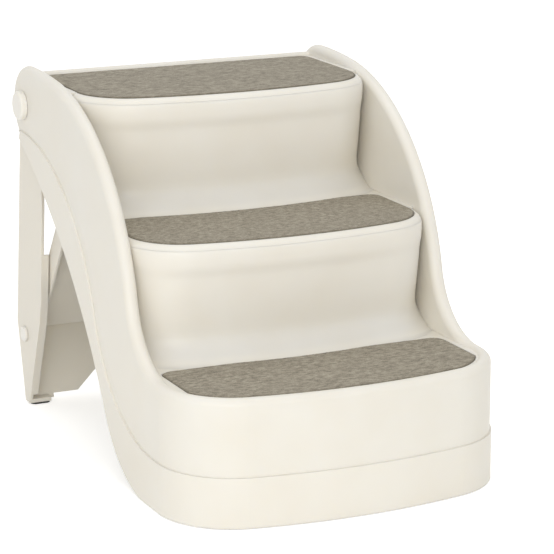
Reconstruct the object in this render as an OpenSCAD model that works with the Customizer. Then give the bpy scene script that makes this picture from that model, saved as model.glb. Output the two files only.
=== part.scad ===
// Folding pet stairs: a moulded staircase with two curved banisters, three mats,
// a folding rear leg and a channel brace that locks the leg open.
// Millimetres, Z up, X across the width, front of the stairs towards minus Y.

/* [Staircase] */
// Width over the outer faces of the two banisters
wall_width = 392; // [388:1:396]
// Thickness of every moulded wall
wall = 3; // [2.6:0.1:3.2]
// Thickness of one banister from outer to inner face
banister = 16; // [16:1:17]
// Height of the first mat above the floor
height_bottom = 140.5; // [138:0.5:142]
// Height of the second mat above the floor
height_middle = 275.5; // [272:0.5:278]
// Height of the top mat above the floor
height_top = 411; // [410:0.5:412]
// How far the lower band stands out from the walls
band_proud = 2; // [1.5:0.5:2.5]
// Height of the lower band on the front skirt
band_height = 57; // [52:1:60]

/* [Mats] */
// Thickness of a tread mat
mat_thick = 4; // [3.5:0.25:4.5]
// Gap left round a mat in its recess
mat_gap = 0.8; // [0.5:0.1:1.2]
// Corner radius of a mat at the back
mat_corner = 14; // [8:1:20]

/* [Leg and brace] */
// Diameter of the pivot stem
stem_d = 16; // [14:0.5:17]
// Diameter of the round cap on the banister
cap_d = 34; // [32:1:35]
// Clearance of a turning fit, measured on the radius
turn_gap = 0.35; // [0.3:0.05:0.5]
// Thickness of the leg side plates
leg_plate = 3.5; // [3:0.25:3.5]
// Diameter of the brace pin shank
pin_d = 9; // [8:0.5:10]

/* [Hidden] */
$fn = 96;
over = 1;
far = 900;
half_width = wall_width / 2;
inner_face = half_width - banister;
seat_x = inner_face + 2.6;
rim_r = banister / 2;
rim_in = rim_r - wall;
floor_gap = 1;

// Plan curve shared by the skirt and the risers: a wide crown with two corners.
// The centres lie in whole ratios, 20:99:101, so that the arcs meet exactly.
crown_share = 5.5;
corner_x = 20 * crown_share;
corner_r = half_width - corner_x;
crown_r = corner_r + 101 * crown_share;
corner_back = crown_r - 99 * crown_share;
front_y = -284;
corner_y = front_y + corner_back;

// Side profile: rounded rear end, two crest arcs and one sweep down to the front rim.
// The centres again lie in whole ratios, 17:144:145 and 40:9:41.
end_y = 212;
end_z = 377;
end_r = 47;
end_c = [end_y, end_z];
crest_z = end_z + end_r;
top_share = 3;
brow_r = 267;
top_r = brow_r + 145 * top_share;
top_c = [end_y, crest_z - top_r];
brow_c = [top_c[0] - 17 * top_share, top_c[1] + 144 * top_share];
sweep_share = (brow_c[0] - corner_y) / 40;
sweep_r = 41 * sweep_share - brow_r;
sweep_c = [brow_c[0] - 40 * sweep_share, brow_c[1] + 9 * sweep_share];
rim_top = sweep_c[1] - sweep_r;
rim_z = rim_top - rim_r;

// Lower edge: one long arc under the side and a small one that lands on the floor
under_c = [565, -270];
under_dy = under_c[0] - end_y;
under_dz = end_z - under_c[1];
under_r = sqrt(under_dy * under_dy + under_dz * under_dz) - end_r;
under_start = atan2(under_dz, -under_dy);
heel_r = 134;
heel_dz = heel_r - under_c[1];
heel_dy = sqrt((under_r + heel_r) * (under_r + heel_r) - heel_dz * heel_dz);
heel_c = [under_c[0] - heel_dy, heel_r];
under_end = atan2(heel_dz, -heel_dy);
heel_end = under_end - 180;
end_low = under_start - 180;
rim_lap = 3;

// Upper line of the lower band on the sides
line_c = [235.5, 93.4];
line_r = 252;
line_heel_r = 174;
line_dz = band_height + line_heel_r - line_c[1];
line_dy = sqrt((line_r + line_heel_r) * (line_r + line_heel_r) - line_dz * line_dz);
line_heel_c = [line_c[0] - line_dy, band_height + line_heel_r];
line_end = atan2(line_dz, -line_dy);

// Risers: nosing fronts, lip, face and cove
nose_back = banister - 1.5;
nose_r = 11;
nose_middle = -134;
nose_top = 18;
face_set = 17;
cove_r = 45;
cove_turn = 50;
cove_rise = 38;
border_drop = 1;
edge_bottom = 3;
edge_upper = 9;
tread_rib = 14;
rib_wall = 2.4;
rear_y = 236;
rear_r = 6;
rear_z = 408;
rear_drop = 34;

// Pivot of the leg and of the brace, as (Y, Z)
pivot = [222, 377];
brace_pivot = [257, 88];
boss_r = 21;
boss_end = half_width - rim_r + 0.2;
stem_bore = stem_d + 2 * turn_gap;
leg_x = boss_end - 0.6;
leg_in = leg_x - leg_plate;
ear_r = 30;
flange = 6;
leg_web = 3;
leg_knee = [285.4, 100];
leg_rear_top = [258, 345];
leg_toe_rear = [262, 2.5];
brace_x = leg_in - flange - 2;
brace_lean = 33.6;
brace_len = 233;
brace_half = 13;
brace_wall = 3;
catch_y = 114;

// Point at a given angle and distance from a centre
function at(c, r, a) = [c[0] + r * cos(a), c[1] + r * sin(a)];

// Turns a (Y, Z) drawing into a slab between two X planes
module slab(x0, x1) {
  translate([x0, 0, 0])
    rotate([90, 0, 90])
      linear_extrude(height = x1 - x0)
        children();
}

// Turns a (radius, X) section about an axis along X through the centre c
module turn(c) {
  translate([0, c[0], c[1]])
    rotate([90, 0, 90])
      rotate_extrude()
        children();
}

// Keeps the part of a turned rim that lies inside a (Y, Z) outline
module between(points) {
  intersection() {
    children();
    slab(inner_face - over, half_width + over)
      polygon(points);
  }
}

// Keeps a shape and adds its mirror partner
module pair() {
  children();
  mirror([1, 0, 0])
    children();
}

// Part of a disc that lies inside an outline
module disc_in(c, r, points) {
  intersection() {
    translate(c)
      circle(r = r);
    polygon(points);
  }
}

// Point seen from one centre through another, at a multiple of their distance
function through(a, b, k) = [a[0] + k * (b[0] - a[0]), a[1] + k * (b[1] - a[1])];

// Side of the stairs below the banister rim, drawn inset from the rim
module under_rim(inset) {
  disc_in(top_c, top_r - inset, [top_c, [end_y, far], through(top_c, brow_c, 2), through(top_c, brow_c, 1)]);
  disc_in(brow_c, brow_r - inset, [brow_c, through(top_c, brow_c, 2), [-far, far], sweep_c]);
  translate(end_c)
    circle(r = end_r - inset);
  difference() {
    polygon([
      [end_y, brow_c[1]],
      brow_c,
      sweep_c,
      [corner_y, floor_gap],
      [at(end_c, end_r + rim_r, end_low)[0], floor_gap],
      at(end_c, end_r + rim_r, end_low),
      end_c
    ]);
    translate(sweep_c)
      circle(r = sweep_r + inset);
  }
}

// Open space under the lower edge, grown into the side by the given amount
module under_edge(grow) {
  translate(under_c)
    circle(r = under_r + grow);
  difference() {
    polygon([
      [heel_c[0], -far],
      [heel_c[0], grow],
      at(heel_c, heel_r - grow, heel_end),
      [far, at(heel_c, heel_r - grow, heel_end)[1]],
      [far, -far]
    ]);
    translate(heel_c)
      circle(r = heel_r - grow);
  }
}

// Everything under the upper line of the lower band
module under_line() {
  translate(line_c)
    circle(r = line_r);
  difference() {
    polygon([
      [line_heel_c[0], -far],
      [line_heel_c[0], band_height],
      at(line_heel_c, line_heel_r, line_end - 180),
      [line_c[0], at(line_heel_c, line_heel_r, line_end - 180)[1]],
      [line_c[0], -far]
    ]);
    translate(line_heel_c)
      circle(r = line_heel_r);
  }
  translate([-far, -far])
    square([far + line_heel_c[0], far + band_height]);
}

// Outer skin of one banister
module skin_drawing() {
  difference() {
    under_rim(rim_r);
    under_edge(0);
  }
}

// Lower band on one side
module band_drawing() {
  difference() {
    intersection() {
      under_rim(rim_r);
      under_line();
    }
    under_edge(0);
  }
}

// Space above the treads that the inner banister skins line
module above_treads() {
  translate([-far, height_bottom - border_drop - wall])
    square([far + nose_middle + lining_back, far]);
  translate([nose_middle + lining_back - over, height_middle - border_drop - wall])
    square([nose_top - nose_middle + over, far]);
  translate([nose_top + lining_back - over, height_top - border_drop - wall])
    square([far, far]);
}

// Distance from a nosing front back to where the inner skin below it ends
lining_back = corner_back - nose_back + face_set + 2;

// Inner skin of one banister
module lining_drawing() {
  intersection() {
    under_rim(rim_r);
    above_treads();
  }
}

// Half round rim section, centred on x, at the given path radius
module rim_section(path, out) {
  intersection() {
    translate([path, half_width - rim_r])
      difference() {
        circle(r = rim_r);
        circle(r = rim_in);
      }
    translate([out > 0 ? path : path - rim_r - over, half_width - banister - over])
      square([rim_r + over, banister + 2 * over]);
  }
}

// Outer quarter of the rim, used where the leg passes inside
module rim_quarter(path) {
  intersection() {
    rim_section(path, 1);
    translate([path - over, half_width - rim_r])
      square([rim_r + 2 * over, rim_r + over]);
  }
}

// Rounded rim that follows the banister
module banister_rim() {
  between([end_c, at(end_c, far, end_low - rim_lap), at(end_c, far, end_low / 2), [far, end_z]])
    turn(end_c)
      rim_quarter(end_r - rim_r);
  between([end_c, [far, end_z], [far, far], [end_y, far]])
    turn(end_c)
      rim_section(end_r - rim_r, 1);
  between([top_c, [end_y, far], through(top_c, brow_c, 2)])
    turn(top_c)
      rim_section(top_r - rim_r, 1);
  between([brow_c, through(top_c, brow_c, 2), [-far, far], through(brow_c, sweep_c, 2)])
    turn(brow_c)
      rim_section(brow_r - rim_r, 1);
  between([sweep_c, brow_c, [brow_c[0], 0], [corner_y, 0]])
    turn(sweep_c)
      rim_section(sweep_r + rim_r, -1);
}

// Turns a (distance, Z) section about a vertical axis, seam to the back
module spin(x, y, r) {
  translate([x, y, 0])
    rotate([0, 0, 180])
      rotate_extrude()
        translate([r, 0])
          children();
}

// Keeps the part of a shape that stands on an (X, Y) outline
module over_plan(points) {
  intersection() {
    children();
    linear_extrude(height = far)
      polygon(points);
  }
}

// Outline of the crown and of one corner, out from their centres
function crown_plan(y0) = [
  [0, y0 + crown_r],
  [40 * crown_share, y0 + crown_r - 198 * crown_share],
  [-40 * crown_share, y0 + crown_r - 198 * crown_share]
];
function corner_plan(y0) = [
  [corner_x, y0 + corner_back],
  [corner_x + 40 * crown_share, y0 + corner_back - 198 * crown_share],
  [far, y0 + corner_back - 198 * crown_share],
  [far, y0 + corner_back]
];

// Carries a section round the front plan curve
module round_front(y0) {
  over_plan(crown_plan(y0))
    spin(0, y0 + crown_r, crown_r)
      children();
  pair()
    over_plan(corner_plan(y0))
      spin(corner_x, y0 + corner_back, corner_r)
        children();
}

// Middle part of a plan area, behind the crown
module crown_area(y0, off) {
  intersection() {
    translate([0, y0 + crown_r])
      circle(r = crown_r + off);
    polygon([
      crown_plan(y0)[1],
      crown_plan(y0)[2],
      [-corner_x, y0 + corner_back],
      [corner_x, y0 + corner_back]
    ]);
  }
}

// Area behind the plan curve, out to the straight sides
module front_area(y0, off, side, back) {
  yc = y0 + corner_back;
  crown_area(y0, off);
  for (s = [0, 1])
    mirror([s, 0])
      disc_in([corner_x, yc], corner_r + off, corner_plan(y0));
  translate([-side, yc])
    square([2 * side, back - yc]);
}

// Rim of the front skirt, as (distance, Z)
module skirt_rim() {
  intersection() {
    translate([-rim_r, rim_z])
      difference() {
        circle(r = rim_r);
        circle(r = rim_in);
      }
    translate([-banister - over, rim_z])
      square([banister + 2 * over, rim_r + over]);
  }
}

// Wall of the front skirt between two offsets, from the front to the side skins
module skirt_wall(inner, outer, z0, z1) {
  translate([0, 0, z0])
    linear_extrude(height = z1 - z0)
      difference() {
        front_area(front_y, outer, half_width + outer, corner_y + over);
        front_area(front_y, inner, half_width + inner, corner_y + 2 * over);
      }
}

// Rounded lip of a nosing, as (distance, Z)
module lip_section(z) {
  x0 = -nose_back - nose_r;
  difference() {
    translate([x0, z - border_drop - nose_r])
      circle(r = nose_r);
    translate([x0, z - border_drop - nose_r])
      circle(r = nose_r - wall);
    translate([x0 - nose_r - over, z - far])
      square([nose_r + over, 2 * far]);
    translate([x0 - over, z - border_drop - wall])
      square([nose_r - edge_upper + mat_gap + over, wall + over]);
  }
}

// Hollow foot of a riser that sweeps out onto the tread below, as (distance, Z)
module cove_section(z) {
  c = [cove_r - nose_back, z - border_drop + cove_rise];
  intersection() {
    translate(c)
      difference() {
        circle(r = cove_r + wall);
        circle(r = cove_r);
      }
    polygon([c, [c[0] - 2 * cove_r, c[1]], at(c, 2 * cove_r, 180 + cove_turn)]);
  }
}

// One riser: lip to 90 degrees, soffit, face set back and cove, trimmed in the banisters
module riser(nose_y, z_low, z_high) {
  y0 = nose_y - nose_back;
  yf = y0 + face_set;
  yb = yf + corner_back + over;
  zs = z_high - border_drop - 2 * nose_r;
  zc = z_low - border_drop + cove_rise;
  intersection() {
    union() {
      round_front(y0)
        lip_section(z_high);
      translate([0, 0, zs])
        linear_extrude(height = wall)
          difference() {
            front_area(y0, -nose_back - nose_r, seat_x - nose_r, yb);
            front_area(yf + wall, -nose_back - wall, seat_x - nose_r - wall, yb + over);
          }
      translate([0, 0, zc])
        linear_extrude(height = zs + wall - zc)
          difference() {
            front_area(yf, -nose_back, half_width - nose_back, yb);
            front_area(yf, -nose_back - wall, half_width - nose_back - wall, yb + over);
          }
      round_front(yf)
        cove_section(z_low);
    }
    translate([-seat_x, nose_y - over, 0])
      cube([2 * seat_x, far, far]);
  }
}

// Outline of a mat, grown by the given amount
module mat_outline(nose_y, edge, back, grow) {
  y0 = nose_y - nose_back;
  side = half_width - nose_back - edge_upper + grow;
  intersection() {
    front_area(y0, grow - nose_back - edge, side, back + grow - mat_corner);
    translate([-side, nose_y])
      square([2 * side, far]);
  }
  translate([-side + mat_corner, back + grow - mat_corner - over])
    square([2 * side - 2 * mat_corner, mat_corner + over]);
  for (s = [-1, 1])
    translate([s * (side - mat_corner), back + grow - mat_corner])
      circle(r = mat_corner);
}

// Recessed plate of one tread, from the given plan area
module tread_plate(z, nose_y, edge, back) {
  zb = z - border_drop;
  translate([0, 0, zb - wall])
    linear_extrude(height = wall)
      difference() {
        children();
        mat_outline(nose_y, edge, back, mat_gap);
      }
  translate([0, 0, zb - 2 * wall])
    linear_extrude(height = wall)
      mat_outline(nose_y, edge, back, mat_gap + wall);
}

// Stiffening ribs under one tread, trimmed to the space behind its riser
module tread_ribs(z, yf, off, y_back) {
  zr = z - border_drop - wall - tread_rib;
  intersection() {
    union() {
      for (x = [-110, -37, 37, 110])
        translate([x - rib_wall / 2, yf, zr])
          cube([rib_wall, y_back - yf, tread_rib]);
      for (k = [0.35, 0.75])
        translate([-seat_x, yf + k * (y_back - yf), zr])
          cube([2 * seat_x, rib_wall, tread_rib]);
    }
    translate([0, 0, zr])
      linear_extrude(height = tread_rib)
        front_area(yf, off, seat_x, y_back);
  }
}

// Back ends of the three mats and treads
back_bottom = nose_middle + 3;
back_middle = nose_top + 10;
back_top = 222;

module treads() {
  tread_plate(height_bottom, front_y + nose_back, edge_bottom, back_bottom)
    front_area(front_y, seat_x - half_width, seat_x, nose_middle + corner_back);
  tread_plate(height_middle, nose_middle, edge_upper, back_middle)
    front_area(nose_middle - nose_back, -nose_back - nose_r, seat_x, nose_top + corner_back);
  tread_plate(height_top, nose_top, edge_upper, back_top)
    front_area(nose_top - nose_back, -nose_back - nose_r, seat_x, rear_y - rear_r);
}

// Raised rear edge of the top tread with its short apron
module rear_edge() {
  slab(-seat_x, seat_x) {
    intersection() {
      translate([rear_y - rear_r, rear_z])
        difference() {
          circle(r = rear_r);
          circle(r = rear_r - wall);
        }
      translate([rear_y - 2 * rear_r - over, rear_z])
        square([2 * rear_r + 2 * over, rear_r + over]);
    }
    translate([rear_y - wall, rear_z - rear_drop])
      square([wall, rear_drop]);
    translate([rear_y - 2 * rear_r, height_top - border_drop - wall])
      square([wall, rear_z - height_top + border_drop + wall]);
  }
}

// Cross rib behind the top riser that the brace leans on, with its gussets
module brace_catch() {
  z0 = 262;
  high = 40;
  catch_half = 175;
  translate([-catch_half, catch_y, z0])
    cube([2 * catch_half, wall, high]);
  intersection() {
    for (x = [-150, -75, 0, 75, 150])
      translate([x - rib_wall / 2, nose_top, height_middle - 2 * wall])
        cube([rib_wall, catch_y - nose_top + over, z0 + high - height_middle + 2 * wall]);
    translate([0, 0, z0])
      linear_extrude(height = high)
        front_area(nose_top - nose_back + face_set, -nose_back - over, seat_x, catch_y + wall);
  }
}

// Pivot boss inside one banister end
module pivot_boss() {
  translate([boss_end, pivot[0], pivot[1]])
    rotate([0, 90, 0])
      cylinder(r = boss_r, h = half_width - boss_end - over);
}

// Places of the grip feet under the skirt, on the right
front_foot_at = [140, front_y + 52];
heel_foot_at = [176, corner_y + 18];
foot_stem_d = 8;
foot_socket_z = 6;

// Tie ribs of the two sockets, as angle and reach from the foot axis
front_ties = [[-100, 36.3], [-25, 33.2]];
heel_ties = [[-35, 22], [35, 22]];

// Socket for one grip foot with its tie ribs
module foot_socket(at_xy, ties) {
  translate([at_xy[0], at_xy[1], foot_socket_z])
    difference() {
      union() {
        cylinder(d = foot_stem_d + 2 * wall, h = 40);
        for (t = ties)
          rotate([0, 0, t[0]])
            translate([foot_stem_d / 2 + over, -rib_wall / 2, 0])
              cube([t[1] - foot_stem_d / 2 - over, rib_wall, 36]);
      }
      translate([0, 0, -over])
        cylinder(d = foot_stem_d, h = 24);
    }
}

module body_shell() {
  round_front(front_y)
    skirt_rim();
  skirt_wall(-wall, 0, floor_gap, rim_z);
  skirt_wall(-over, band_proud, floor_gap, band_height);
  pair() {
    slab(half_width - wall, half_width)
      skin_drawing();
    slab(half_width - over, half_width + band_proud)
      band_drawing();
    slab(inner_face, inner_face + wall)
      lining_drawing();
    banister_rim();
    pivot_boss();
    foot_socket(front_foot_at, front_ties);
    foot_socket(heel_foot_at, heel_ties);
  }
}

module stair_body() {
  color("#E6E2D8")
    difference() {
      union() {
        body_shell();
        treads();
        riser(nose_middle, height_bottom, height_middle);
        riser(nose_top, height_middle, height_top);
        rear_edge();
        brace_catch();
        tread_ribs(height_bottom, front_y, -over, nose_middle);
        tread_ribs(height_middle, nose_middle - nose_back + face_set, -nose_back - over, nose_top);
        tread_ribs(height_top, nose_top - nose_back + face_set, -nose_back - over, rear_y - over);
      }
      pair()
        translate([boss_end - over, pivot[0], pivot[1]])
          rotate([0, 90, 0])
            cylinder(d = stem_bore, h = banister);
    }
}

// One tread mat lying in its recess
module mat(z, nose_y, edge, back) {
  color("#8F8878")
    translate([0, 0, z - mat_thick])
      linear_extrude(height = mat_thick)
        mat_outline(nose_y, edge, back, 0);
}

module tread_mat_bottom() {
  mat(height_bottom, front_y + nose_back, edge_bottom, back_bottom);
}

module tread_mat_middle() {
  mat(height_middle, nose_middle, edge_upper, back_middle);
}

module tread_mat_top() {
  mat(height_top, nose_top, edge_upper, back_top);
}

// Side plate of the leg, as (Y, Z)
module leg_side() {
  difference() {
    union() {
      translate(pivot)
        circle(r = ear_r);
      translate([leg_rear_top[0] + 1, leg_rear_top[1] + 9])
        circle(r = 5);
      polygon([
        [193, 369], [188, 300], [188, 262], [199, 141], [206, 112], [246, 6], [247, 2.5],
        leg_toe_rear, leg_knee, leg_rear_top, [251, 385]
      ]);
    }
    translate(pivot)
      circle(d = stem_bore);
  }
}

// Inward flange along the lower front edge of a leg side plate
module leg_lip() {
  polygon([
    [193.6, 200], [199, 141], [206, 112], [243, 14],
    [246, 14], [209.2, 112.6], [202.2, 141.4], [196.8, 200]
  ]);
}

// Rounded rectangle from corner to corner
module soft_rect(x0, z0, x1, z1, r) {
  translate([x0 + r, z0])
    square([x1 - x0 - 2 * r, z1 - z0]);
  translate([x0, z0 + r])
    square([x1 - x0, z1 - z0 - 2 * r]);
  for (x = [x0 + r, x1 - r])
    for (z = [z0 + r, z1 - r])
      translate([x, z])
        circle(r = r);
}

// Rear web of the leg, as (Y, Z), with its thickness measured level
module leg_back() {
  polygon([
    leg_toe_rear,
    leg_knee,
    leg_rear_top,
    leg_rear_top - [leg_web, 0],
    leg_knee - [leg_web, 0],
    leg_toe_rear - [leg_web, 0]
  ]);
}

// Cuts an (X, Z) drawing level through the rear web
module through_back() {
  translate([0, leg_knee[0] + over, 0])
    rotate([90, 0, 0])
      linear_extrude(height = 2 * ear_r)
        children();
}

window_half = 168;
window_low = leg_knee[1] + 24;
window_high = leg_knee[1] + 175;
window_r = 22;
arch_half = 120;
arch_rise = 40;
toe_half = 152;
toe_step = 5;

// Opening under the leg: a low step inside each foot and a sloping arch, as (X, Z)
module leg_arch() {
  z0 = leg_toe_rear[1];
  polygon([
    [-toe_half, -over], [-toe_half, z0 + toe_step], [-arch_half, z0 + toe_step],
    [arch_rise - arch_half, z0 + arch_rise], [arch_half - arch_rise, z0 + arch_rise],
    [arch_half, z0 + toe_step], [toe_half, z0 + toe_step], [toe_half, -over]
  ]);
}

module rear_leg() {
  color("#E4E0D6")
    difference() {
      union() {
        pair() {
          slab(leg_in, leg_x)
            leg_side();
          slab(leg_in - flange, leg_in + over)
            leg_lip();
          translate([leg_in - 24, leg_toe_rear[0] - 16, 2.5])
            cube([24 + over, 14, 5]);
        }
        slab(-leg_in - over, leg_in + over)
          leg_back();
      }
      through_back()
        soft_rect(-window_half, window_low, window_half, window_high, window_r);
      through_back()
        leg_arch();
      pair()
        translate([leg_in - over, brace_pivot[0], brace_pivot[1]])
          rotate([0, 90, 0])
            cylinder(d = pin_d + 2 * turn_gap, h = leg_plate + 2 * over);
    }
}

// Places brace parts, drawn upright above the brace pin, at the open position
module brace_place() {
  translate([0, brace_pivot[0], brace_pivot[1]])
    rotate([brace_lean, 0, 0])
      children();
}

// Side flange of the brace, as (Y, Z)
module brace_side() {
  difference() {
    union() {
      circle(r = brace_half);
      translate([-brace_half, 0])
        square([2 * brace_half, brace_len - 8]);
      translate([-brace_half, 0])
        square([2 * brace_half - 8, brace_len]);
      translate([brace_half - 8, brace_len - 8])
        circle(r = 8);
    }
    circle(d = pin_d + 2 * turn_gap);
  }
}

module support_brace() {
  color("#E0DACB")
    brace_place()
      union() {
        pair()
          slab(brace_x - brace_wall, brace_x)
            brace_side();
        translate([-brace_x + over, 2, 8])
          cube([2 * brace_x - 2 * over, brace_wall, brace_len - 8]);
        translate([-brace_x + over, -brace_half, brace_len - brace_wall])
          cube([2 * brace_x - 2 * over, brace_half + 4, brace_wall]);
      }
}

// Pivot pin on the right: round cap outside, stem through the boss and the leg ear
module pivot_pin() {
  stem_end = leg_in - 0.4;
  color("#E9E5DB")
    difference() {
      union() {
        translate([half_width, pivot[0], pivot[1]])
          rotate([0, 90, 0])
            rotate_extrude()
              polygon([
                [0, 0.3], [cap_d / 2, 0.3], [cap_d / 2, 6], [cap_d / 2 - 2, 8], [0, 8]
              ]);
        translate([stem_end, pivot[0], pivot[1]])
          rotate([0, 90, 0])
            cylinder(d = stem_d, h = half_width - stem_end + over);
      }
      translate([stem_end - over, pivot[0], pivot[1]])
        rotate([0, 90, 0])
          cylinder(d = 4.4, h = 13);
    }
}

module pivot_washer() {
  color("#A9ABAD")
    translate([leg_in - 2.6, pivot[0], pivot[1]])
      rotate([0, 90, 0])
        difference() {
          cylinder(d = 20, h = 2);
          translate([0, 0, -over])
            cylinder(d = 5, h = 2 + 2 * over);
        }
}

module pivot_screw() {
  color("#9A9C9F")
    translate([leg_in - 2.7, pivot[0], pivot[1]])
      rotate([0, 90, 0])
        difference() {
          union() {
            translate([0, 0, -3])
              cylinder(d = 9, h = 3);
            translate([0, 0, -over])
              cylinder(d = 4.2, h = 13);
          }
          translate([0, 0, -3 - over])
            cylinder(d = 3, h = 2.5, $fn = 6);
        }
}

// Snap pin on the right: domed head outside the leg, split shank through the brace
module brace_pin() {
  color("#EEEAE0")
    translate([leg_x, brace_pivot[0], brace_pivot[1]])
      rotate([0, 90, 0])
        difference() {
          union() {
            translate([0, 0, 0.3])
              cylinder(d = 19, h = 3);
            translate([0, 0, brace_x - brace_wall - leg_x - 4])
              cylinder(d = pin_d, h = leg_x - brace_x + brace_wall + 5);
            translate([0, 0, brace_x - brace_wall - leg_x - 4])
              cylinder(d = pin_d + 2.2, h = 3.4);
          }
          translate([-12, -0.9, brace_x - brace_wall - leg_x - 5])
            cube([24, 1.8, 14]);
          for (s = [-1, 1])
            translate([s * 9.5 - 1.6, -2.5, 1.2])
              cube([3.2, 5, 4]);
        }
}

// Rubber foot under the leg on the right
module rear_foot() {
  color("#1E1D1C")
    translate([leg_in - 12, leg_toe_rear[0] - 9, 0])
      union() {
        for (x = [-6, 6])
          translate([x, 0, 0])
            cylinder(d = 12, h = 2.4);
        translate([-6, -6, 0])
          cube([12, 12, 2.4]);
      }
}

// Rubber grip foot under the skirt
module grip_foot(at_xy) {
  color("#1E1D1C")
    translate([at_xy[0], at_xy[1], 0])
      union() {
        cylinder(d = 24, h = foot_socket_z - 0.2);
        cylinder(d = foot_stem_d - 0.4, h = foot_socket_z + 14);
      }
}

module pivot_pin_right() {
  pivot_pin();
}

module pivot_pin_left() {
  mirror([1, 0, 0])
    pivot_pin();
}

module pivot_washer_right() {
  pivot_washer();
}

module pivot_washer_left() {
  mirror([1, 0, 0])
    pivot_washer();
}

module pivot_screw_right() {
  pivot_screw();
}

module pivot_screw_left() {
  mirror([1, 0, 0])
    pivot_screw();
}

module brace_pin_right() {
  brace_pin();
}

module brace_pin_left() {
  mirror([1, 0, 0])
    brace_pin();
}

module rear_foot_right() {
  rear_foot();
}

module rear_foot_left() {
  mirror([1, 0, 0])
    rear_foot();
}

module front_foot_right() {
  grip_foot(front_foot_at);
}

module front_foot_left() {
  mirror([1, 0, 0])
    grip_foot(front_foot_at);
}

module heel_foot_right() {
  grip_foot(heel_foot_at);
}

module heel_foot_left() {
  mirror([1, 0, 0])
    grip_foot(heel_foot_at);
}

stair_body();
tread_mat_bottom();
tread_mat_middle();
tread_mat_top();
rear_leg();
support_brace();
pivot_pin_left();
pivot_pin_right();
pivot_washer_left();
pivot_washer_right();
pivot_screw_left();
pivot_screw_right();
brace_pin_left();
brace_pin_right();
rear_foot_left();
rear_foot_right();
front_foot_left();
front_foot_right();
heel_foot_left();
heel_foot_right();
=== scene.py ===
# Folding pet stairs: finishes, felt mats, riser fronts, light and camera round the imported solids.
import math

import bmesh
import bpy
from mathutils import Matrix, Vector
from mathutils.kdtree import KDTree


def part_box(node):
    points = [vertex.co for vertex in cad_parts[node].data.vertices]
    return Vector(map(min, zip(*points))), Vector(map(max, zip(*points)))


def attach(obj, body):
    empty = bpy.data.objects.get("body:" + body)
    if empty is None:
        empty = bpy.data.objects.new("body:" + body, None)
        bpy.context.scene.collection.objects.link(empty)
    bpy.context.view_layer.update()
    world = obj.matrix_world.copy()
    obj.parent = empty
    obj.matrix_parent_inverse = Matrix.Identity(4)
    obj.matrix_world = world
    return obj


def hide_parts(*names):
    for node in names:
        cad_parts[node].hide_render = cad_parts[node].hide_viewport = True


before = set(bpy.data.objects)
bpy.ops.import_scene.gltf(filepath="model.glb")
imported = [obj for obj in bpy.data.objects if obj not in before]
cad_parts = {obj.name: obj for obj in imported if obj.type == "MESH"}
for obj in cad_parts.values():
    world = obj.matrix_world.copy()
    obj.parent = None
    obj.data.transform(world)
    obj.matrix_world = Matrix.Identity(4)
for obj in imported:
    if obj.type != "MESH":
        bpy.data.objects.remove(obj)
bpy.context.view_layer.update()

MM = 0.001

# Colours, as sRGB hex values
CREAM = "EAE7DF"
CREAM_DEEP = "E3DDD0"
LEG_CREAM = "E6E1D6"
PIN_CREAM = "EEEAE1"
FELT_LIGHT = "B1A997"
FELT_MID = "928A79"
FELT_DARK = "675F50"
# Painted shade for the mats' border, where the felt's cut side falls in shadow
FELT_EDGE_SHADE = "6A6455"
ZINC = "B9BBBD"
RUBBER = "191817"
RUBBER_DUSTY = "2A2826"
FLOOR = "F2F1EE"
WHITE = "FFFFFF"

# The photograph's camera: angles in degrees, distances in metres, lens and sensor in millimetres
VIEW_AZIMUTH = -25.03
VIEW_ELEVATION = 14.26
VIEW_DISTANCE = 2.9011
VIEW_LENS = 166.32
VIEW_SENSOR = 36.0
LOOK_AT = Vector((0.0081, -0.048, 0.2085))

# Studio: strength of the white world, glow and reach of the floor, and the lamps.
# A lamp has a name, a place and a width in metres, and its level on a white card.
WORLD_STRENGTH = 0.69
FLOOR_GLOW = 0.5
FLOOR_REACH = 8.0
LAMPS = [
    ("key_lamp", (-1.3, -1.7, 2.3), 1.6, 0.07),
    ("left_lamp", (-2.2, -1.5, 0.45), 1.2, 0.09),
    ("front_lamp", (-1.25, -2.6, 0.75), 1.4, 0.25),
    ("fill_lamp", (1.9, -2.0, 1.2), 1.8, 0.05),
    ("top_lamp", (0.1, 0.3, 2.6), 1.4, 0.17),
]

# Plastic: size of its colour clouds, size and depth of its sink waves, and how deep light enters
CLOUD_SIZE = 71.4 * MM
SINK_SIZE = 45.5 * MM
SINK_DEPTH = 0.4 * MM
GLOW_DEPTH = 6.0 * MM

# Felt as a finish: tufts, heather specks, worn patches, and the pile's depth
TUFT_LENGTH = 7.69 * MM
TUFT_WIDTH = 4.17 * MM
SPECK_SIZE = 1.5625 * MM
WEAR_SIZE = 16.67 * MM
PILE_DEPTH = 0.5 * MM

NUB_SPACING = 3.2 * MM
NUB_HEIGHT = 0.5 * MM
FELT_VOXEL = 1.5 * MM
BORDER_WIDTH = 2.4 * MM
BORDER_DROP = 0.6 * MM

# Zinc plating and rubber: sizes and depths of what marks their skins
PLATING_SIZE = 2.5 * MM
PLATING_DEPTH = 0.05 * MM
PIT_SIZE = 1.11 * MM
PIT_DEPTH = 0.1 * MM
DUST_SIZE = 8.33 * MM

# Points of a CAD mesh that lie closer than this count as one
WELD = 0.01 * MM

# Sockets of a Mix node: two colours and their mix, and two plain values
COLOUR_A = 6
COLOUR_B = 7
COLOUR_MIX = 2
VALUE_A = 2
VALUE_B = 3

# Plan curve of the risers, as on the solids: a wide crown that turns into two corners.
# It reaches the outside of both walls. CROWN_SHARE of a front's steps lie on the crown.
HALF_WIDTH = 196 * MM
BANISTER = 16 * MM
CROWN_R = 641.5 * MM
CROWN_SHARE = 0.6
CORNER_X = 110 * MM
CORNER_R = HALF_WIDTH - CORNER_X
JOIN = math.asin(CORNER_X / (CROWN_R - CORNER_R))
CORNER_BACK = CROWN_R - (CROWN_R - CORNER_R) * math.cos(JOIN)

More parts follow.
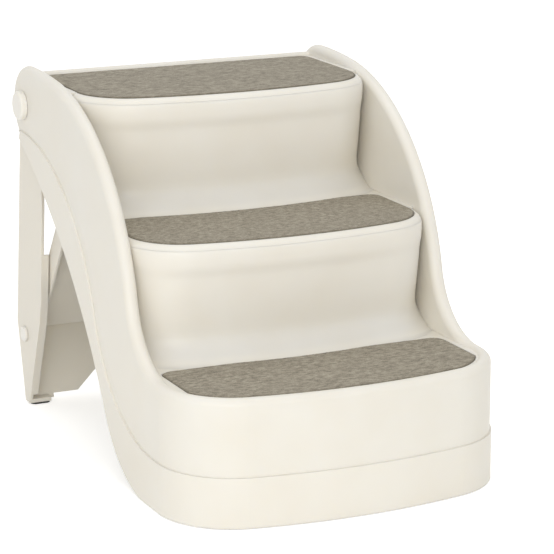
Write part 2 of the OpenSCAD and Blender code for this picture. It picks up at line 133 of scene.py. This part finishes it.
# The riser fronts end a little inside the banisters
FRONT_LAP = 0.2 * MM
FRONT_END = HALF_WIDTH - BANISTER + FRONT_LAP
FRONT_STEPS = 64
SHARP_ANGLE = math.radians(40)

# Front edges of the two upper nosings, and how far a nosing stands behind the plan curve
NOSE_MIDDLE = -134 * MM
NOSE_TOP = 18 * MM
NOSE_BACK = 14.5 * MM

# A mat stands this far above its tread
MAT_PROUD = 1 * MM

# Section of a riser front, in millimetres: shift back, distance out from the plan curve, height.
# The nose is measured from the top of the mat above, the toe from the tread below.
# FACE is the riser's plain face, and FOOT is how far the riser's foot stands back.
FACE = -14.2
FOOT = 17.0
NOSE_SECTION = [
    # Top of the hidden back, inside the nosing
    (0.0, -22.0, -12.0),
    # Down the face in front of the solid riser
    (0.0, -15.4, -7.3),
    (0.0, -14.65, -9.6),
    (0.0, -14.3, -12.0),
    (0.1, FACE, -17.0),
    (0.5, FACE, -23.0),
    (1.3, FACE, -28.0),
    (2.6, FACE, -32.0),
    (4.0, FACE, -36.0),
    (5.0, FACE, -41.0),
    (6.0, FACE, -50.0),
]
TOE_SECTION = [
    (10.5, FACE, 56.0),
    (12.6, FACE, 44.0),
    (14.3, -14.0, 36.0),
    (15.8, -13.2, 29.0),
    (16.7, -11.8, 23.0),
    (FOOT, -9.0, 17.0),
    (FOOT, -5.6, 11.6),
    (FOOT, -1.7, 6.9),
    (FOOT, 0.2, 5.0),
    (FOOT, 1.9, 3.5),
    (FOOT, 3.9, 2.15),
    (FOOT, 6.2, 1.1),
    (FOOT, 8.6, 0.45),
    (FOOT, 11.5, 0.05),
    # Under the tread's surface, and up the hidden back
    (FOOT, 11.5, -0.6),
    (FOOT, 0.6, -0.6),
    (FOOT, -3.2, 6.9),
    (FOOT, -7.1, 11.6),
    (FOOT, -10.6, 17.0),
    (FOOT, -13.3, 23.0),
    (FOOT, -15.0, 29.0),
    (FOOT, -16.0, 38.0),
]


def linear(code):
    """A colour for a shader from an sRGB hex value."""
    parts = [int(code[i : i + 2], 16) / 255 for i in (0, 2, 4)]
    return [c / 12.92 if c <= 0.04045 else ((c + 0.055) / 1.055) ** 2.4 for c in parts] + [1.0]


def add(tree, kind, inputs=None, **settings):
    """Adds a node. An input is a value, or the socket that feeds it."""
    node = tree.nodes.new(kind)
    for name, value in settings.items():
        setattr(node, name, value)
    for key, value in (inputs or {}).items():
        socket = node.inputs[key]
        if isinstance(value, bpy.types.NodeSocket):
            tree.links.new(value, socket)
        else:
            socket.default_value = value
    return node


def new_object(name, data):
    """An object for a mesh, a lamp or a camera, in the scene."""
    thing = bpy.data.objects.new(name, data)
    bpy.context.scene.collection.objects.link(thing)
    return thing


def new_material(name):
    """An empty material and its tree."""
    material = bpy.data.materials.new(name)
    material.use_nodes = True
    material.node_tree.nodes.clear()
    return material, material.node_tree


def moulded_plastic(name, colour, shade, grain_size, grain_depth, rough, edge):
    """Injection-moulded plastic: an even colour that clouds slightly, and a fine spark-eroded grain."""
    material, tree = new_material(name)
    place = add(tree, "ShaderNodeTexCoord").outputs["Object"]
    cloud = add(tree, "ShaderNodeTexNoise", {"Vector": place, "Scale": 1 / CLOUD_SIZE, "Detail": 2.0})
    tint = add(
        tree,
        "ShaderNodeMix",
        {"Factor": cloud.outputs["Fac"], COLOUR_A: linear(shade), COLOUR_B: linear(colour)},
        data_type="RGBA",
    )
    gloss = add(
        tree,
        "ShaderNodeMapRange",
        {
            "Value": cloud.outputs["Fac"],
            "From Min": 0.3,
            "From Max": 0.7,
            "To Min": rough - 0.04,
            "To Max": rough + 0.05,
        },
    )
    # The grain is about 0.3 mm on the real surface and is drawn coarser so that it shows
    grain = add(
        tree,
        "ShaderNodeTexNoise",
        {"Vector": place, "Scale": 1 / grain_size, "Detail": 2.0, "Roughness": 0.6},
    )
    # Slow waves where the wall sank a little over its ribs
    wave = add(tree, "ShaderNodeTexNoise", {"Vector": place, "Scale": 1 / SINK_SIZE, "Detail": 1.0})
    soft_edge = add(tree, "ShaderNodeBevel", {"Radius": edge}, samples=6)
    sink = add(
        tree,
        "ShaderNodeBump",
        {
            "Strength": 0.35,
            "Distance": SINK_DEPTH,
            "Height": wave.outputs["Fac"],
            "Normal": soft_edge.outputs["Normal"],
        },
    )
    bump = add(
        tree,
        "ShaderNodeBump",
        {
            "Strength": 0.5,
            "Distance": grain_depth,
            "Height": grain.outputs["Fac"],
            "Normal": sink.outputs["Normal"],
        },
    )
    # A little light enters the plastic and comes out warmer, which softens its shadows
    shader = add(
        tree,
        "ShaderNodeBsdfPrincipled",
        {
            "Base Color": tint.outputs[COLOUR_MIX],
            "Roughness": gloss.outputs["Result"],
            "IOR": 1.49,
            "Subsurface Weight": 0.25,
            "Subsurface Radius": (1.0, 0.9, 0.7),
            "Subsurface Scale": GLOW_DEPTH,
            "Normal": bump.outputs["Normal"],
        },
    )
    add(tree, "ShaderNodeOutputMaterial", {"Surface": shader.outputs["BSDF"]})
    return material


def needle_felt():
    """Needle-punched polyester felt: heathered fibres that lie mostly across the tread."""
    material, tree = new_material("needle_felt_taupe")
    place = add(tree, "ShaderNodeTexCoord").outputs["Object"]
    # The needling leaves tufts about 8 mm across the stairs and 4 mm deep.
    # Single fibres are too thin to show, so the specks are drawn coarser.
    along = add(
        tree,
        "ShaderNodeMapping",
        {"Vector": place, "Scale": (1 / TUFT_LENGTH, 1 / TUFT_WIDTH, 1 / TUFT_WIDTH)},
    )
    streak = add(
        tree,
        "ShaderNodeTexNoise",
        {"Vector": along.outputs["Vector"], "Scale": 1.0, "Detail": 4.0, "Roughness": 0.65},
    )
    speck = add(
        tree,
        "ShaderNodeTexNoise",
        {"Vector": place, "Scale": 1 / SPECK_SIZE, "Detail": 3.0, "Roughness": 0.7},
    )
    blend = add(
        tree,
        "ShaderNodeMix",
        {"Factor": 0.45, VALUE_A: streak.outputs["Fac"], VALUE_B: speck.outputs["Fac"]},
        data_type="FLOAT",
    )
    heather = add(tree, "ShaderNodeValToRGB", {"Fac": blend.outputs[0]})
    ramp = heather.color_ramp
    ramp.elements[0].position = 0.36
    ramp.elements[0].color = linear(FELT_DARK)
    ramp.elements[1].position = 0.64
    ramp.elements[1].color = linear(FELT_LIGHT)
    ramp.elements.new(0.5).color = linear(FELT_MID)
    patch = add(tree, "ShaderNodeTexNoise", {"Vector": place, "Scale": 1 / WEAR_SIZE, "Detail": 3.0})
    worn = add(
        tree,
        "ShaderNodeMix",
        {"Factor": 0.18, COLOUR_A: heather.outputs["Color"], COLOUR_B: patch.outputs["Fac"]},
        data_type="RGBA",
        blend_type="SOFT_LIGHT",
    )
    # Painted shade: the felt darkens towards the mat's outline, standing in for the shadow on the mat's
    # cut side
    border = add(tree, "ShaderNodeAttribute", attribute_name="edge_distance")
    edge = add(
        tree,
        "ShaderNodeMapRange",
        {
            "Value": border.outputs["Fac"],
            "From Min": 0.0,
            "From Max": BORDER_WIDTH,
            "To Min": 0.85,
            "To Max": 0.0,
        },
    )
    with_painted_edge_shade = add(
        tree,
        "ShaderNodeMix",
        {
            "Factor": edge.outputs["Result"],
            COLOUR_A: worn.outputs[COLOUR_MIX],
            COLOUR_B: linear(FELT_EDGE_SHADE),
        },
        data_type="RGBA",
    )
    bump = add(
        tree,
        "ShaderNodeBump",
        {"Strength": 0.8, "Distance": PILE_DEPTH, "Height": blend.outputs[0]},
    )
    shader = add(
        tree,
        "ShaderNodeBsdfPrincipled",
        {
            "Base Color": with_painted_edge_shade.outputs[COLOUR_MIX],
            "Roughness": 0.95,
            "Specular IOR Level": 0.15,
            "Sheen Weight": 0.12,
            "Sheen Roughness": 0.6,
            "Normal": bump.outputs["Normal"],
        },
    )
    add(tree, "ShaderNodeOutputMaterial", {"Surface": shader.outputs["BSDF"]})
    return material


def zinc_plate():
    """Zinc-plated steel: a greyish metal with the faint patches that the plating bath leaves."""
    material, tree = new_material("zinc_plated_steel")
    place = add(tree, "ShaderNodeTexCoord").outputs["Object"]
    patch = add(tree, "ShaderNodeTexNoise", {"Vector": place, "Scale": 1 / PLATING_SIZE, "Detail": 3.0})
    rough = add(
        tree,
        "ShaderNodeMapRange",
        {"Value": patch.outputs["Fac"], "To Min": 0.25, "To Max": 0.5},
    )
    bump = add(
        tree,
        "ShaderNodeBump",
        {"Strength": 0.3, "Distance": PLATING_DEPTH, "Height": patch.outputs["Fac"]},
    )
    shader = add(
        tree,
        "ShaderNodeBsdfPrincipled",
        {
            "Base Color": linear(ZINC),
            "Metallic": 1.0,
            "Roughness": rough.outputs["Result"],
            "Normal": bump.outputs["Normal"],
        },
    )
    add(tree, "ShaderNodeOutputMaterial", {"Surface": shader.outputs["BSDF"]})
    return material


def moulded_rubber():
    """Moulded thermoplastic rubber: black, matt and a little dusty, with a fine pitted skin."""
    material, tree = new_material("moulded_black_rubber")
    place = add(tree, "ShaderNodeTexCoord").outputs["Object"]
    pits = add(tree, "ShaderNodeTexNoise", {"Vector": place, "Scale": 1 / PIT_SIZE, "Detail": 2.0})
    dust = add(tree, "ShaderNodeTexNoise", {"Vector": place, "Scale": 1 / DUST_SIZE, "Detail": 3.0})
    colour = add(
        tree,
        "ShaderNodeMix",
        {"Factor": dust.outputs["Fac"], COLOUR_A: linear(RUBBER), COLOUR_B: linear(RUBBER_DUSTY)},
        data_type="RGBA",
    )
    bump = add(
        tree,
        "ShaderNodeBump",
        {"Strength": 0.4, "Distance": PIT_DEPTH, "Height": pits.outputs["Fac"]},
    )
    shader = add(
        tree,
        "ShaderNodeBsdfPrincipled",
        {
            "Base Color": colour.outputs[COLOUR_MIX],
            "Roughness": 0.72,
            "IOR": 1.52,
            "Normal": bump.outputs["Normal"],
        },
    )
    add(tree, "ShaderNodeOutputMaterial", {"Surface": shader.outputs["BSDF"]})
    return material


def repaint(nodes, material):
    """Gives CAD nodes a finish without touching their meshes."""
    for name in nodes:
        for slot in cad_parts[name].material_slots:
            slot.link = "OBJECT"
            slot.material = material


def both_sides(*names):
    """Node names of pieces that come in pairs."""
    return [name + side for name in names for side in ("_left", "_right")]


def felt_tree():
    """Geometry nodes that raise a felt surface into irregular nubs."""
    tree = bpy.data.node_groups.new("felt_nubs", "GeometryNodeTree")
    panel = tree.interface
    panel.new_socket("Geometry", in_out="INPUT", socket_type="NodeSocketGeometry")
    panel.new_socket("Nub spacing", in_out="INPUT", socket_type="NodeSocketFloat")
    panel.new_socket("Nub height", in_out="INPUT", socket_type="NodeSocketFloat")
    panel.new_socket("Seed", in_out="INPUT", socket_type="NodeSocketFloat")
    panel.new_socket("Finish", in_out="INPUT", socket_type="NodeSocketMaterial")
    panel.new_socket("Geometry", in_out="OUTPUT", socket_type="NodeSocketGeometry")
    given = add(tree, "NodeGroupInput").outputs
    normal = add(tree, "GeometryNodeInputNormal").outputs["Normal"]
    place = add(tree, "GeometryNodeInputPosition").outputs["Position"]
    scale = add(tree, "ShaderNodeMath", {0: 1.0, 1: given["Nub spacing"]}, operation="DIVIDE")
    noise = add(
        tree,
        "ShaderNodeTexNoise",
        {"Vector": place, "Scale": scale.outputs[0], "Detail": 2.0, "W": given["Seed"]},
        noise_dimensions="4D",
    )
    level = add(tree, "ShaderNodeMath", {0: noise.outputs["Fac"], 1: 0.5}, operation="SUBTRACT")
    height = add(
        tree,
        "ShaderNodeMath",
        {0: level.outputs[0], 1: given["Nub height"]},
        operation="MULTIPLY",
    )
    offset = add(tree, "ShaderNodeVectorMath", {0: normal, "Scale": height.outputs[0]}, operation="SCALE")
    # The underside stays flat, because it lies on the tread
    up = add(tree, "ShaderNodeSeparateXYZ", {0: normal})
    seen = add(tree, "FunctionNodeCompare", {0: up.outputs["Z"], 1: -0.5}, operation="GREATER_THAN")
    raised = add(
        tree,
        "GeometryNodeSetPosition",
        {
            "Geometry": given["Geometry"],
            "Selection": seen.outputs["Result"],
            "Offset": offset.outputs[0],
        },
    )
    smooth = add(tree, "GeometryNodeSetShadeSmooth", {"Geometry": raised.outputs["Geometry"]})
    real = add(tree, "GeometryNodeRealizeInstances", {"Geometry": smooth.outputs["Geometry"]})
    finished = add(
        tree,
        "GeometryNodeSetMaterial",
        {"Geometry": real.outputs["Geometry"], "Material": given["Finish"]},
    )
    add(tree, "NodeGroupOutput", {"Geometry": finished.outputs["Geometry"]})
    return tree


def apply_modifiers(piece):
    """Turns a piece with its modifiers into a plain mesh."""
    depsgraph = bpy.context.evaluated_depsgraph_get()
    mesh = bpy.data.meshes.new_from_object(piece.evaluated_get(depsgraph))
    old = piece.data
    piece.modifiers.clear()
    piece.data = mesh
    bpy.data.meshes.remove(old)
    mesh.name = piece.name


def merged_copy(node, name):
    """A closed copy of a CAD node's mesh, without its finish and its fixed normals."""
    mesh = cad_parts[node].data.copy()
    mesh.materials.clear()
    form = bmesh.new()
    form.from_mesh(mesh)
    bmesh.ops.remove_doubles(form, verts=form.verts, dist=WELD)
    form.to_mesh(mesh)
    form.free()
    fixed_normals = mesh.attributes.get("custom_normal")
    if fixed_normals:
        mesh.attributes.remove(fixed_normals)
    return new_object(name, mesh)


def upper_outline(mesh, top):
    """Finder of the nearest point on a flat piece's upper outline, and that outline's area."""
    # The outline's edges lie at the top and belong to an upright wall face
    rim = [
        edge
        for edge in mesh.edges
        if all(abs(mesh.vertices[v].co.z - top) < WELD for v in edge.vertices)
    ]
    walls = set()
    area = 0.0
    for face in mesh.polygons:
        if face.normal.z > 0.9:
            area += face.area
        elif abs(face.normal.z) < 0.1:
            walls.update(face.edge_keys)
    # A point for about every millimetre of the outline
    points = []
    for edge in rim:
        if edge.key in walls:
            a, b = (mesh.vertices[v].co for v in edge.vertices)
            steps = max(1, int((b - a).length / MM))
            points += [a.lerp(b, k / steps) for k in range(steps)]
    finder = KDTree(len(points))
    for k, point in enumerate(points):
        finder.insert(point, k)
    finder.balance()
    return finder, area


def felt_mat(node, name, seed, tree, finish):
    """A tread mat: the CAD mat's outline with a pressed border and a nubbly upper face."""
    low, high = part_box(node)
    piece = merged_copy(node, name)
    finder, area = upper_outline(piece.data, high[2])
    remesh = piece.modifiers.new("even_mesh", "REMESH")
    remesh.mode = "VOXEL"
    remesh.voxel_size = FELT_VOXEL
    apply_modifiers(piece)
    # The distance to the outline also sets where the felt's painted edge shade falls
    edge_distance = piece.data.attributes.new("edge_distance", "FLOAT", "POINT")
    middle = (low[2] + high[2]) / 2
    for vertex in piece.data.vertices:
        flat = Vector((vertex.co.x, vertex.co.y, high[2]))
        away = (finder.find(flat)[0] - flat).length
        edge_distance.data[vertex.index].value = away
        if vertex.co.z > middle and away < BORDER_WIDTH:
            share = 1 - away / BORDER_WIDTH
            vertex.co.z -= BORDER_DROP * share * share
    nubs = piece.modifiers.new("nubs", "NODES")
    nubs.node_group = tree
    settings = {"Nub spacing": NUB_SPACING, "Nub height": NUB_HEIGHT, "Seed": seed, "Finish": finish}
    for socket in tree.interface.items_tree:
        if socket.in_out == "INPUT" and socket.name in settings:
            nubs[socket.identifier] = settings[socket.name]
    apply_modifiers(piece)
    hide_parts(node)
    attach(piece, "stairs")


def plan_point(turn, out, back):
    """Point at a distance out from a plan curve whose crown touches Y = back.

    turn runs from -1 at the left banister to 1 at the right one.
    """
    side = math.copysign(1, turn)
    share = abs(turn)
    if share < CROWN_SHARE:
        angle = JOIN * share / CROWN_SHARE
        radius = CROWN_R + out
        return side * radius * math.sin(angle), back + CROWN_R - radius * math.cos(angle)
    radius = CORNER_R + out
    last = math.asin(min(1, (FRONT_END - CORNER_X) / radius))
    angle = JOIN + (last - JOIN) * (share - CROWN_SHARE) / (1 - CROWN_SHARE)
    x = side * (CORNER_X + radius * math.sin(angle))
    return x, back + CORNER_BACK - radius * math.cos(angle)


def riser_front(name, nose, mat_above, mat_below, finish):
    """The leaning front of a riser, from the nose under the mat above to the toe on the tread below."""
    back = nose - NOSE_BACK
    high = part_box(mat_above)[1][2]
    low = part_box(mat_below)[1][2] - MAT_PROUD
    section = [(shift * MM, out * MM, high + z * MM) for shift, out, z in NOSE_SECTION]
    section += [(shift * MM, out * MM, low + z * MM) for shift, out, z in TOE_SECTION]
    form = bmesh.new()
    rings = []
    for k in range(-FRONT_STEPS, FRONT_STEPS + 1):
        ring = []
        for shift, out, z in section:
            x, y = plan_point(k / FRONT_STEPS, out, back + shift)
            ring.append(form.verts.new((x, y, z)))
        rings.append(ring)
    count = len(section)
    for first, second in zip(rings, rings[1:]):
        for k in range(count):
            after = (k + 1) % count
            form.faces.new((first[k], first[after], second[after], second[k]))
    form.faces.new(rings[0])
    form.faces.new(rings[-1])
    bmesh.ops.recalc_face_normals(form, faces=form.faces)
    mesh = bpy.data.meshes.new(name)
    form.to_mesh(mesh)
    form.free()
    mesh.shade_smooth()
    mesh.set_sharp_from_angle(angle=SHARP_ANGLE)
    mesh.materials.append(finish)
    piece = new_object(name, mesh)
    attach(piece, "stairs")


def aim(thing, place, target):
    """Sets a lamp or camera at a place, looking at a target."""
    thing.location = place
    thing.rotation_mode = "QUATERNION"
    thing.rotation_quaternion = (Vector(target) - Vector(place)).to_track_quat("-Z", "Y")


def photograph_camera():
    """The camera that was fitted to the photograph."""
    azimuth = math.radians(VIEW_AZIMUTH)
    elevation = math.radians(VIEW_ELEVATION)
    level = math.cos(elevation)
    back = Vector((math.sin(azimuth) * level, -math.cos(azimuth) * level, math.sin(elevation)))
    data = bpy.data.cameras.new("camera")
    data.sensor_width = VIEW_SENSOR
    data.lens = VIEW_LENS
    camera = new_object("camera", data)
    aim(camera, LOOK_AT + back * VIEW_DISTANCE, LOOK_AT)
    bpy.context.scene.camera = camera


def soft_lamp(name, place, width, level):
    """A square studio lamp that lights a white card at the object to the given level."""
    data = bpy.data.lights.new(name, "AREA")
    data.shape = "SQUARE"
    data.size = width
    distance = (Vector(place) - LOOK_AT).length
    data.energy = level * math.pi**2 * distance**2
    aim(new_object(name, data), place, LOOK_AT)


def backdrop_rays(tree):
    """1 for the rays that should see the pale background, 0 for the light on the object."""
    path = add(tree, "ShaderNodeLightPath").outputs
    seen = add(
        tree,
        "ShaderNodeMath",
        {0: path["Is Camera Ray"], 1: path["Is Glossy Ray"]},
        operation="MAXIMUM",
    )
    either = add(
        tree,
        "ShaderNodeMath",
        {0: seen.outputs[0], 1: path["Is Transmission Ray"]},
        operation="MAXIMUM",
    )
    return either.outputs[0]


def studio_world():
    """A white world that is seen as pure white and lights the object more softly."""
    world = bpy.data.worlds.new("studio")
    bpy.context.scene.world = world
    world.use_nodes = True
    tree = world.node_tree
    tree.nodes.clear()
    ambient = add(tree, "ShaderNodeBackground", {"Color": linear(WHITE), "Strength": WORLD_STRENGTH})
    seen = add(tree, "ShaderNodeBackground", {"Color": linear(WHITE), "Strength": 1.0})
    mix = add(
        tree,
        "ShaderNodeMixShader",
        {0: backdrop_rays(tree), 1: ambient.outputs[0], 2: seen.outputs[0]},
    )
    add(tree, "ShaderNodeOutputWorld", {"Surface": mix.outputs[0]})


def studio_floor():
    """A matt pale floor that glows to the camera, so that only the object's shadow shows on it."""
    material, tree = new_material("studio_floor")
    matt = add(tree, "ShaderNodeBsdfDiffuse", {"Color": linear(FLOOR)})
    glow = add(tree, "ShaderNodeEmission", {"Color": linear(WHITE), "Strength": FLOOR_GLOW})
    both = add(tree, "ShaderNodeAddShader", {0: matt.outputs[0], 1: glow.outputs[0]})
    mix = add(
        tree,
        "ShaderNodeMixShader",
        {0: backdrop_rays(tree), 1: matt.outputs[0], 2: both.outputs[0]},
    )
    add(tree, "ShaderNodeOutputMaterial", {"Surface": mix.outputs[0]})
    mesh = bpy.data.meshes.new("studio_floor")
    corners = [(x * FLOOR_REACH, y * FLOOR_REACH, 0) for x, y in ((-1, -1), (1, -1), (1, 1), (-1, 1))]
    mesh.from_pydata(corners, [], [(0, 1, 2, 3)])
    mesh.materials.append(material)
    new_object("studio_floor", mesh)


photograph_camera()
bpy.context.scene.view_settings.view_transform = "Standard"
studio_world()
studio_floor()
for lamp in LAMPS:
    soft_lamp(*lamp)

# Polypropylene copolymer, injection moulded: an even satin cream
body_finish = moulded_plastic(
    "polypropylene_cream",
    CREAM,
    CREAM_DEEP,
    grain_size=1.3 * MM,
    grain_depth=0.06 * MM,
    rough=0.42,
    edge=1.4 * MM,
)
repaint(["stair_body"], body_finish)
riser_front("riser_front_middle", NOSE_MIDDLE, "tread_mat_middle", "tread_mat_bottom", body_finish)
riser_front("riser_front_top", NOSE_TOP, "tread_mat_top", "tread_mat_middle", body_finish)
# The same polypropylene on the leg and brace, a touch warmer and duller
leg_finish = moulded_plastic(
    "polypropylene_leg",
    LEG_CREAM,
    CREAM_DEEP,
    grain_size=1.3 * MM,
    grain_depth=0.06 * MM,
    rough=0.45,
    edge=1.0 * MM,
)
repaint(["rear_leg", "support_brace"], leg_finish)
# Nylon pins: smoother and lighter than the walls
pin_finish = moulded_plastic(
    "nylon_pins",
    PIN_CREAM,
    CREAM,
    grain_size=0.9 * MM,
    grain_depth=0.03 * MM,
    rough=0.34,
    edge=0.8 * MM,
)
repaint(both_sides("pivot_pin", "brace_pin"), pin_finish)
repaint(both_sides("pivot_washer", "pivot_screw"), zinc_plate())
repaint(both_sides("rear_foot", "front_foot", "heel_foot"), moulded_rubber())

felt = needle_felt()
nub_tree = felt_tree()
for seed, step in enumerate(("bottom", "middle", "top")):
    felt_mat("tread_mat_" + step, "felt_mat_" + step, float(seed), nub_tree, felt)
